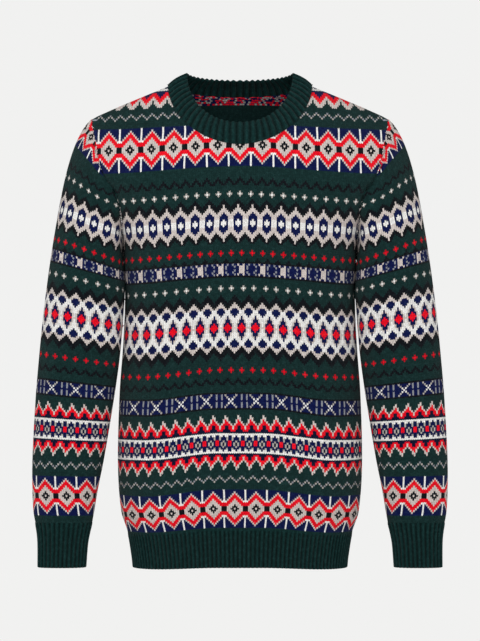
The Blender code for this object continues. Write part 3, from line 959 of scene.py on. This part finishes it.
def knit_rib(node, point_at, ribs, height, closed, relief, materials, plain=0):
    """A ribbed band. Its ribs are waves of its wall, and start after the plain courses."""
    columns = ribs * RIB_COLUMNS
    places, around = even_places(point_at, columns)
    profile = rib_profile(height)
    bm = knit_grid(columns, len(profile) - 1)
    levels = sorted({min(up, 1.0) for up, _ in profile})
    face = rib_face(point_at, places, levels, closed)
    middle = sum((face[levels[0], i][0] for i in range(columns)), Vector()) / columns
    probe, normal, _ = face[levels[0], columns // 2]
    facing = 1 if normal.dot(probe - middle) > 0 else -1
    crests = [0.5 + 0.5 * cos(2 * pi * (i % RIB_COLUMNS) / RIB_COLUMNS) for i in range(columns + 1)]
    courses = height / RIB_COURSE
    across = columns + 1
    for row, (up, depth) in enumerate(profile):
        level = min(up, 1.0)
        over = max(up - 1.0, 0.0) * height
        grown = blend(RIB_AT_SEAM, 1.0, ease(level / RIB_GROWS_OVER))
        if plain:
            grown = ease(level * courses - plain + 1.0)
        for i in range(columns + 1):
            wave = relief * (crests[i] ** RIB_FULLNESS - RIB_MEAN) * grown
            point, normal, rise = face[level, i]
            bm.verts[row * across + i].co = point + normal * facing * (wave - depth) + rise * over
    place = bm.loops.layers.uv.new("knit")
    for quad in bm.faces:
        for loop in quad.loops:
            row, column = divmod(loop.vert.index, across)
            up, depth = profile[row]
            loop[place].uv = (column * 2 / RIB_COLUMNS + 0.5, (up + depth * 0.3 / height) * courses - plain)
    bmesh.ops.remove_doubles(bm, verts=bm.verts, dist=MERGE_WITHIN)
    if not closed:
        open_edges = [edge for edge in bm.edges if edge.is_boundary]
        bmesh.ops.holes_fill(bm, edges=open_edges, sides=0)
    bmesh.ops.recalc_face_normals(bm, faces=bm.faces)
    piece = finish_cloth(bm, f"{node}_rib", node, materials)
    return piece


def welt_lines(side):
    """The welt's courses from its seam with the panel down to the hem."""
    lines = []
    for i in range(WELT_STEPS + 1):
        height = blend(FIRST_COURSE_MM * MM, WELT_EDGE, i / WELT_STEPS)
        lines.append((panel_course(side, LEFT, height), panel_course(side, RIGHT, height)))
    return lines


def welt_point(lines, side, share, up):
    """A point of a welt's outside, from its seam at 0 to the hem at 1."""
    where = min(max(up, 0.0), 1.0) * (len(lines) - 1)
    first = min(int(where), len(lines) - 2)
    across = (share * 2.0 - 1.0) * -side
    hand = 0 if across > 0 else 1
    ends = [lines[k][hand] for k in (first, first + 1)]
    points = [line.at(abs(across) * line.total) for line in ends]
    return points[0].lerp(points[1], where - first)


# ---- yarns and cloth

def linear(hex_colour):
    """An sRGB hex colour as linear red, green and blue."""
    values = [int(hex_colour[i : i + 2], 16) / 255 for i in (1, 3, 5)]
    return tuple(v / 12.92 if v <= 0.04045 else ((v + 0.055) / 1.055) ** 2.4 for v in values)


def add_node(tree, kind, inputs=(), **settings):
    """Adds a shader node. Its inputs are values, sockets or nodes, in their order or by name or number.

    A node stands for its first output.
    """
    node = tree.nodes.new("ShaderNode" + kind)
    for name, value in settings.items():
        setattr(node, name, value)
    for name, value in inputs.items() if isinstance(inputs, dict) else enumerate(inputs):
        if isinstance(value, bpy.types.Node):
            value = value.outputs[0]
        if isinstance(value, bpy.types.NodeSocket):
            tree.links.new(value, node.inputs[name])
        else:
            node.inputs[name].default_value = value
    return node


def new_material(name, finish):
    """A material whose shader has the settings of a finish."""
    material = bpy.data.materials.new(name)
    material.use_nodes = True
    shader = material.node_tree.nodes["Principled BSDF"]
    for socket, value in finish.items():
        shader.inputs[socket].default_value = value
    return material, material.node_tree, shader


# Woollen yarn is matt, with a soft sheen from its loose fibres
WOOL = {"Roughness": 0.95, "Specular IOR Level": 0.06, "Sheen Weight": 0.03, "Sheen Roughness": 0.5}
FLECKS = 9 / (10 * MM)  # tufts of fibre, nine to 10 mm
DRIFTS = 2.3 / (10 * MM)  # slow changes of the dye, about one to 4 mm
LINT_AND_SHEEN = "#558181"  # pale loose fibres that lie on the yarn, whose colour also paints in the sheen that they catch
STITCH_YARN = 0.0009  # how high the yarn stands over the gaps in stocking stitch, and in the ribs
RIB_YARN = 0.0006
REVERSE_COURSES = 256  # length of the reverse's colour ramp, in courses


def humps(tree, where, power):
    """A row of round humps, one to each whole step of where."""
    step = add_node(tree, "Math", (where,), operation="FRACT")
    turn = add_node(tree, "Math", (step, pi), operation="MULTIPLY")
    wave = add_node(tree, "Math", (turn,), operation="SINE")
    return add_node(tree, "Math", (wave, power), operation="POWER")


def stitch_relief_and_shade(tree, lean, ribbed=False):
    """Height of the yarn and the painted shade of its gaps, from the piece's own map in stitches and
    courses.
    """
    place = add_node(tree, "UVMap", uv_map="knit")
    across, up, _ = add_node(tree, "SeparateXYZ", (place,)).outputs
    from_middle = add_node(tree, "Math", (across, 0.5), operation="PINGPONG")
    leaned = add_node(tree, "Math", (from_middle, lean, up), operation="MULTIPLY_ADD")
    leg = humps(tree, add_node(tree, "Math", (across, 2.0), operation="MULTIPLY"), 0.7)
    stitch = humps(tree, across, 0.5)
    course = humps(tree, leaned, 0.5)
    rows = add_node(tree, "Math", (course, 0.6, 0.4), operation="MULTIPLY_ADD")
    height = add_node(tree, "Math", (leg, rows), operation="MULTIPLY")
    # Painted shade: the yarn is coloured darker in the gaps between legs, stitches and courses, where shade
    # falls.
    between_rows = add_node(tree, "Math", (course, 0.5, 0.5), operation="MULTIPLY_ADD")
    painted_gap_shade = add_node(tree, "Math", (stitch, between_rows), operation="MULTIPLY")
    half_painted_gap_shade = add_node(tree, "Math", (painted_gap_shade, 0.5), operation="MULTIPLY")
    painted_shade = add_node(tree, "Math", (leg, 0.5, half_painted_gap_shade), operation="MULTIPLY_ADD")
    # In rib the grooves between the ribs get painted shade as well, except on the plain courses.
    if ribbed:
        wave = add_node(tree, "Math", (across, 0.5, 0.25), operation="MULTIPLY_ADD")
        flat = add_node(tree, "MapRange", (up, -1.0, -0.3, 0.8, 0.0))
        ribs = add_node(tree, "Math", (humps(tree, wave, 1.1), flat), operation="MAXIMUM")
        soft = add_node(tree, "Math", (painted_shade, 0.4, 0.6), operation="MULTIPLY_ADD")
        painted_shade = add_node(tree, "Math", (soft, ribs), operation="MULTIPLY")
    return height, painted_shade


def finish_yarn(tree, shader, colour, relief, depth, painted_shade_low):
    """Paints shade into the gaps between stitches, varies the yarn, paints the sheen of loose fibres on it
    and raises its stitches and fibres.
    """
    height, painted_gap_shade = relief
    where = add_node(tree, "TexCoord").outputs["Object"]
    flecks = add_node(
        tree, "TexNoise", {"Vector": where, "Scale": FLECKS, "Detail": 3.0, "Roughness": 0.7}
    )
    drift = add_node(
        tree, "TexNoise", {"Vector": where, "Scale": DRIFTS, "Detail": 4.0, "Roughness": 0.7}
    )
    # Painted shade: the yarn's colour is multiplied down to this low share in the deepest gaps.
    painted_shade = add_node(tree, "Math", (painted_gap_shade, 1.0 - painted_shade_low, painted_shade_low), operation="MULTIPLY_ADD")
    fleck = add_node(tree, "MapRange", (flecks, 0.3, 0.7, 0.72, 1.28))
    wash = add_node(tree, "MapRange", (drift, 0.3, 0.7, 0.80, 1.20))
    varied = add_node(tree, "Math", (fleck, wash), operation="MULTIPLY")
    # light: the painted shade times the random changes of tone
    light = add_node(tree, "Math", (painted_shade, varied), operation="MULTIPLY")
    yarn = add_node(tree, "Mix", {0: 1.0, 6: colour, 7: light}, data_type="RGBA", blend_type="MULTIPLY")
    # Painted sheen: random patches mixed towards a pale colour, for loose fibres that lie on the yarn and
    # catch the light.
    lint_and_sheen_share = add_node(tree, "MapRange", (drift, 0.5, 0.8, 0.0, 0.09))
    lint_and_sheen_colour = (*linear(LINT_AND_SHEEN), 1.0)
    fuzzy = add_node(tree, "Mix", {0: lint_and_sheen_share, 6: yarn.outputs[2], 7: lint_and_sheen_colour}, data_type="RGBA")
    tree.links.new(fuzzy.outputs[2], shader.inputs["Base Color"])
    raised = add_node(tree, "Math", (flecks, 0.25, height), operation="MULTIPLY_ADD")
    bump = add_node(tree, "Bump", {"Strength": 0.8, "Distance": depth, "Height": raised})
    tree.links.new(bump.outputs[0], shader.inputs["Normal"])


def set_steps(ramp, steps):
    """Gives a colour ramp its steps: where each starts, and its colour."""
    ramp.color_ramp.interpolation = "CONSTANT"
    elements = ramp.color_ramp.elements
    for i, (start, colour) in enumerate(steps):
        element = elements.new(start) if i else elements[0]
        element.color = (*colour, 1.0)
    elements.remove(elements[-1])


def colourwork_material(yarns):
    """Wool in stranded stocking stitch: matt V-shaped stitches with painted shade in their gaps, each in
    its own yarn.
    """
    material, tree, shader = new_material("stranded wool stocking stitch", WOOL)
    chart = add_node(tree, "Attribute", attribute_name="yarn")
    ramp = add_node(tree, "ValToRGB", (chart.outputs["Fac"],))
    set_steps(ramp, [(i / len(YARNS), getattr(yarns, name)) for i, name in enumerate(YARNS.values())])
    finish_yarn(tree, shader, ramp.outputs[0], stitch_relief_and_shade(tree, 0.0), STITCH_YARN, 0.40)
    return material


def rib_material(yarns):
    """Wool knitted in rib: matt ridges that catch the light, with painted shade in the grooves between
    them.
    """
    material, tree, shader = new_material("ribbed wool in dark green", WOOL)
    colour = (*yarns.rib_green, 1.0)
    finish_yarn(tree, shader, colour, stitch_relief_and_shade(tree, 1.0, ribbed=True), RIB_YARN, 0.22)
    return material


def reverse_steps(yarns):
    """Where the reverse changes its yarns, in courses from the bottom up, and the three that it shows."""
    steps = [(0, (yarns.green, yarns.green, yarns.green))]
    course = 0
    for band in BANDS:
        letters = "".join(MOTIFS[band.motif])
        held = (yarns.green, yarns.green, yarns.green)
        if band.motif in ("diamonds", "teeth", "shoulder teeth", "rings", "peaks", "kisses", "blocks"):
            held = (yarns.navy, yarns.red if "r" in letters else yarns.beige, yarns.faded_beige)
        if band.motif in ("lozenges", "lattice"):
            held = (yarns.navy, yarns.beige, yarns.white)
        late = 2 if band.motif == "shoulder teeth" else 0
        if steps[-1][1] != held:
            steps.append((course + late, held))
        course += band.rows
    return steps


def reverse_material(yarns):
    """The wrong side of stranded wool: short flat bars of the yarns that are carried behind the face."""
    material, tree, shader = new_material("wrong side of stranded wool", WOOL)
    place = add_node(tree, "UVMap", uv_map="knit")
    up = add_node(tree, "SeparateXYZ", (place,)).outputs[1]
    height = add_node(tree, "Math", (up, 1 / REVERSE_COURSES), operation="MULTIPLY")
    colours = []
    for number in range(3):
        ramp = add_node(tree, "ValToRGB", (height,))
        set_steps(ramp, [(start / REVERSE_COURSES, held[number]) for start, held in reverse_steps(yarns)])
        colours.append(ramp.outputs[0])
    black = (0, 0, 0, 1)
    bars = add_node(
        tree, "TexBrick",
        {"Vector": place, "Scale": 1.0, "Mortar Size": 0.10, "Brick Width": 1.4, "Row Height": 1.0,
         "Color1": black, "Color2": (1, 1, 1, 1), "Mortar": black},
    )
    mixed = colours[0]
    for more_than, colour in ((0.33, colours[1]), (0.70, colours[2])):
        share = add_node(tree, "Math", (bars, more_than), operation="GREATER_THAN")
        mixed = add_node(tree, "Mix", {0: share, 6: mixed, 7: colour}, data_type="RGBA").outputs[2]
    # The gaps between the stitches get painted shade here too.
    finish_yarn(tree, shader, mixed, stitch_relief_and_shade(tree, 0.0), RIB_YARN, 0.45)
    return material


# ---- the studio

BACKDROP = "#F1F1F0"
FLOOR_PAINT = "#E1E1DF"
FLOOR_HEIGHT = -0.95
FLOOR_RADIUS = 60.0
FLOOR_FADES_FROM = 1.0  # distance from the jumper's middle at which the floor starts to glow
FLOOR_FADES_TO = 2.0
AMBIENT = 0.58  # light from all round, as a share of the backdrop's own
Softbox = namedtuple("Softbox", "name place size power")
SOFTBOXES = rows_of(
    Softbox,
    ("key_softbox", (-1.0, -3.2, 1.9), 1.8, 76.0),
    ("fill_softbox", (1.5, -3.5, -0.6), 2.4, 44.0),
)
SOFTBOX_AIM = Vector((0.0, 0.0, -0.3))
LENS_MM = 231.0
FILM_WIDTH_MM = 36.0
CAMERA_HEIGHT = -0.339
CAMERA_REACH = 200.0


def floor_material():
    """Matt white floor paint: no gloss, only a soft shadow. Far out it glows as the backdrop does."""
    finish = {"Roughness": 1.0, "Specular IOR Level": 0.0, "Emission Color": (*linear(BACKDROP), 1.0)}
    material, tree, shader = new_material("matt white floor paint", finish)
    where = add_node(tree, "TexCoord").outputs["Object"]
    reach = add_node(tree, "VectorMath", (where,), operation="LENGTH").outputs["Value"]
    far = add_node(
        tree, "MapRange", (reach, FLOOR_FADES_FROM, FLOOR_FADES_TO, 0.0, 1.0),
        interpolation_type="SMOOTHSTEP",
    )
    near = (*linear(FLOOR_PAINT), 1.0)
    colour = add_node(tree, "Mix", {0: far, 6: near, 7: (0.0, 0.0, 0.0, 1.0)}, data_type="RGBA")
    tree.links.new(colour.outputs[2], shader.inputs["Base Color"])
    tree.links.new(far.outputs[0], shader.inputs["Emission Strength"])
    return material


def lay_floor(scene):
    bm = bmesh.new()
    bmesh.ops.create_circle(bm, cap_ends=True, segments=96, radius=FLOOR_RADIUS)
    bmesh.ops.translate(bm, verts=bm.verts, vec=(0.0, 0.0, FLOOR_HEIGHT))
    bmesh.ops.recalc_face_normals(bm, faces=bm.faces)
    mesh = bpy.data.meshes.new("studio_floor")
    bm.to_mesh(mesh)
    bm.free()
    mesh.materials.append(floor_material())
    floor_piece = bpy.data.objects.new("studio_floor", mesh)
    scene.collection.objects.link(floor_piece)


def set_light(scene):
    world = bpy.data.worlds.new("studio")
    world.use_nodes = True
    tree = world.node_tree
    glow = tree.nodes["Background"]
    glow.inputs[0].default_value = (*linear(BACKDROP), 1.0)
    seen = add_node(tree, "LightPath").outputs["Is Camera Ray"]
    strength = add_node(tree, "Math", (seen, 1.0 - AMBIENT, AMBIENT), operation="MULTIPLY_ADD")
    tree.links.new(strength.outputs[0], glow.inputs[1])
    scene.world = world
    for softbox in SOFTBOXES:
        light = bpy.data.lights.new(softbox.name, "AREA")
        light.energy = softbox.power
        light.size = softbox.size
        lamp = bpy.data.objects.new(softbox.name, light)
        lamp.location = softbox.place
        aim = SOFTBOX_AIM - Vector(softbox.place)
        lamp.rotation_euler = aim.to_track_quat("-Z", "Y").to_euler()
        scene.collection.objects.link(lamp)


def place_camera(scene, distance):
    camera = bpy.data.cameras.new("camera")
    camera.lens = LENS_MM
    camera.sensor_width = FILM_WIDTH_MM
    camera.clip_end = CAMERA_REACH
    view = bpy.data.objects.new("camera", camera)
    view.location = (0.0, -distance, CAMERA_HEIGHT)
    view.rotation_euler = (pi / 2, 0.0, 0.0)
    scene.collection.objects.link(view)
    scene.camera = view
    scene.view_settings.view_transform = "Standard"


# ---- the add-on

def yarn_colour(name, description, hex_colour):
    return FloatVectorProperty(
        name=name, description=description, subtype="COLOR", size=3, default=linear(hex_colour)
    )


def length(name, description, default, least, most):
    return FloatProperty(
        name=name, description=description, subtype="DISTANCE", unit="LENGTH", default=default, min=least,
        max=most,
    )


class JumperYarns(PropertyGroup):
    green: yarn_colour("Green", "Ground yarn", "#14302F")
    rib_green: yarn_colour("Rib green", "Ground yarn in the ribs", "#0F2E2D")
    navy: yarn_colour("Navy", "Dark blue yarn", "#0B154B")
    dark_navy: yarn_colour("Dark navy", "Darkest blue yarn", "#0A1030")
    red: yarn_colour("Red", "Scarlet yarn", "#FF0A24")
    deep_red: yarn_colour("Deep red", "Red yarn of the small crosses", "#C80C22")
    white: yarn_colour("White", "Off-white yarn", "#FFFDFA")
    beige: yarn_colour("Beige", "Undyed yarn", "#E0D4CE")
    faded_beige: yarn_colour("Faded beige", "Duller yarn of the thin lines", "#BDB7B1")
    # Painted shade: beige made greyer and darker for single stitches that sink between their neighbours,
    # half covered by them.
    shaded_beige: yarn_colour(
        "Shaded beige", "Single stitches that the yarn beside them half covers", "#9698A0"
    )
    black: yarn_colour("Black", "Near-black yarn", "#101218")


class JumperSizes(PropertyGroup):
    rib_pitch: length("Rib pitch", "Width of one rib and its groove", 0.0064, 0.003, 0.02)
    rib_relief: length("Rib relief", "Height of a rib over its groove", 0.0022, 0.0, 0.005)
    camera_distance: length("Camera distance", "From the jumper's middle", 6.0, 1.0, 20.0)


class JUMPER_OT_body(Operator):
    """Knit the front and the back"""

    bl_idname = "jumper.body"
    bl_label = "Front and back"

    def execute(self, context):
        yarns = context.scene.jumper_yarns
        materials = [colourwork_material(yarns), reverse_material(yarns)]
        front = knit_panel(FRONT, "front", materials)
        back = knit_panel(BACK, "back", materials)
        return {"FINISHED"}


class JUMPER_OT_sleeves(Operator):
    """Knit the two sleeves"""

    bl_idname = "jumper.sleeves"
    bl_label = "Sleeves"

    def execute(self, context):
        yarns = context.scene.jumper_yarns
        materials = [colourwork_material(yarns), reverse_material(yarns)]
        for hand, word in ((LEFT, "left"), (RIGHT, "right")):
            piece = knit_sleeve(hand, f"sleeve_{word}", materials)
        return {"FINISHED"}


class JUMPER_OT_ribs(Operator):
    """Knit the neckband, the welts and the cuffs in rib"""

    bl_idname = "jumper.ribs"
    bl_label = "Ribs"

    def execute(self, context):
        materials = [rib_material(context.scene.jumper_yarns)]
        sizes = context.scene.jumper_sizes
        pitch, relief = sizes.rib_pitch, sizes.rib_relief
        ribs = round(NECKBAND_LENGTH / (NECKBAND_STRETCH * pitch))
        knit_rib(
            "neckband", neckband_point, ribs, NECKBAND_HEIGHT, True, NECKBAND_RELIEF * relief, materials
        )
        for side, word in ((FRONT, "front"), (BACK, "back")):
            lines = welt_lines(side)
            knit_rib(
                f"{word}_welt", lambda share, up: welt_point(lines, side, share, up),
                round(WELT_LENGTH / pitch), WELT_HEIGHT, False, relief, materials, WELT_PLAIN_COURSES,
            )
        for hand, word in ((LEFT, "left"), (RIGHT, "right")):
            knit_rib(
                f"cuff_{word}", lambda share, up: cuff_point(hand, share, up),
                round(CUFF_LENGTH / pitch), CUFF_HEIGHT, True, relief, materials,
            )
        return {"FINISHED"}


class JUMPER_OT_stage(Operator):
    """Set the floor, the light and the camera"""

    bl_idname = "jumper.stage"
    bl_label = "Stage"

    def execute(self, context):
        lay_floor(context.scene)
        set_light(context.scene)
        place_camera(context.scene, context.scene.jumper_sizes.camera_distance)
        return {"FINISHED"}


class JUMPER_PT_sidebar(Panel):
    bl_label = "Fair Isle Jumper"
    bl_idname = "JUMPER_PT_sidebar"
    bl_space_type = "VIEW_3D"
    bl_region_type = "UI"
    bl_category = "Jumper"

    def draw(self, context):
        layout = self.layout
        for group in (context.scene.jumper_yarns, context.scene.jumper_sizes):
            for name in group.__annotations__:
                layout.prop(group, name)
        for operator in OPERATORS:
            layout.operator(operator.bl_idname)


OPERATORS = (JUMPER_OT_body, JUMPER_OT_sleeves, JUMPER_OT_ribs, JUMPER_OT_stage)
CLASSES = (JumperYarns, JumperSizes, *OPERATORS, JUMPER_PT_sidebar)


def register():
    for item in CLASSES:
        bpy.utils.register_class(item)
    bpy.types.Scene.jumper_yarns = PointerProperty(type=JumperYarns)
    bpy.types.Scene.jumper_sizes = PointerProperty(type=JumperSizes)


def unregister():
    del bpy.types.Scene.jumper_sizes
    del bpy.types.Scene.jumper_yarns
    for item in reversed(CLASSES):
        bpy.utils.unregister_class(item)


def main():
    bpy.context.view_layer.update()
    register()
    bpy.ops.jumper.body()
    bpy.ops.jumper.sleeves()
    bpy.ops.jumper.ribs()
    bpy.ops.jumper.stage()


if __name__ == "__main__":
    main()
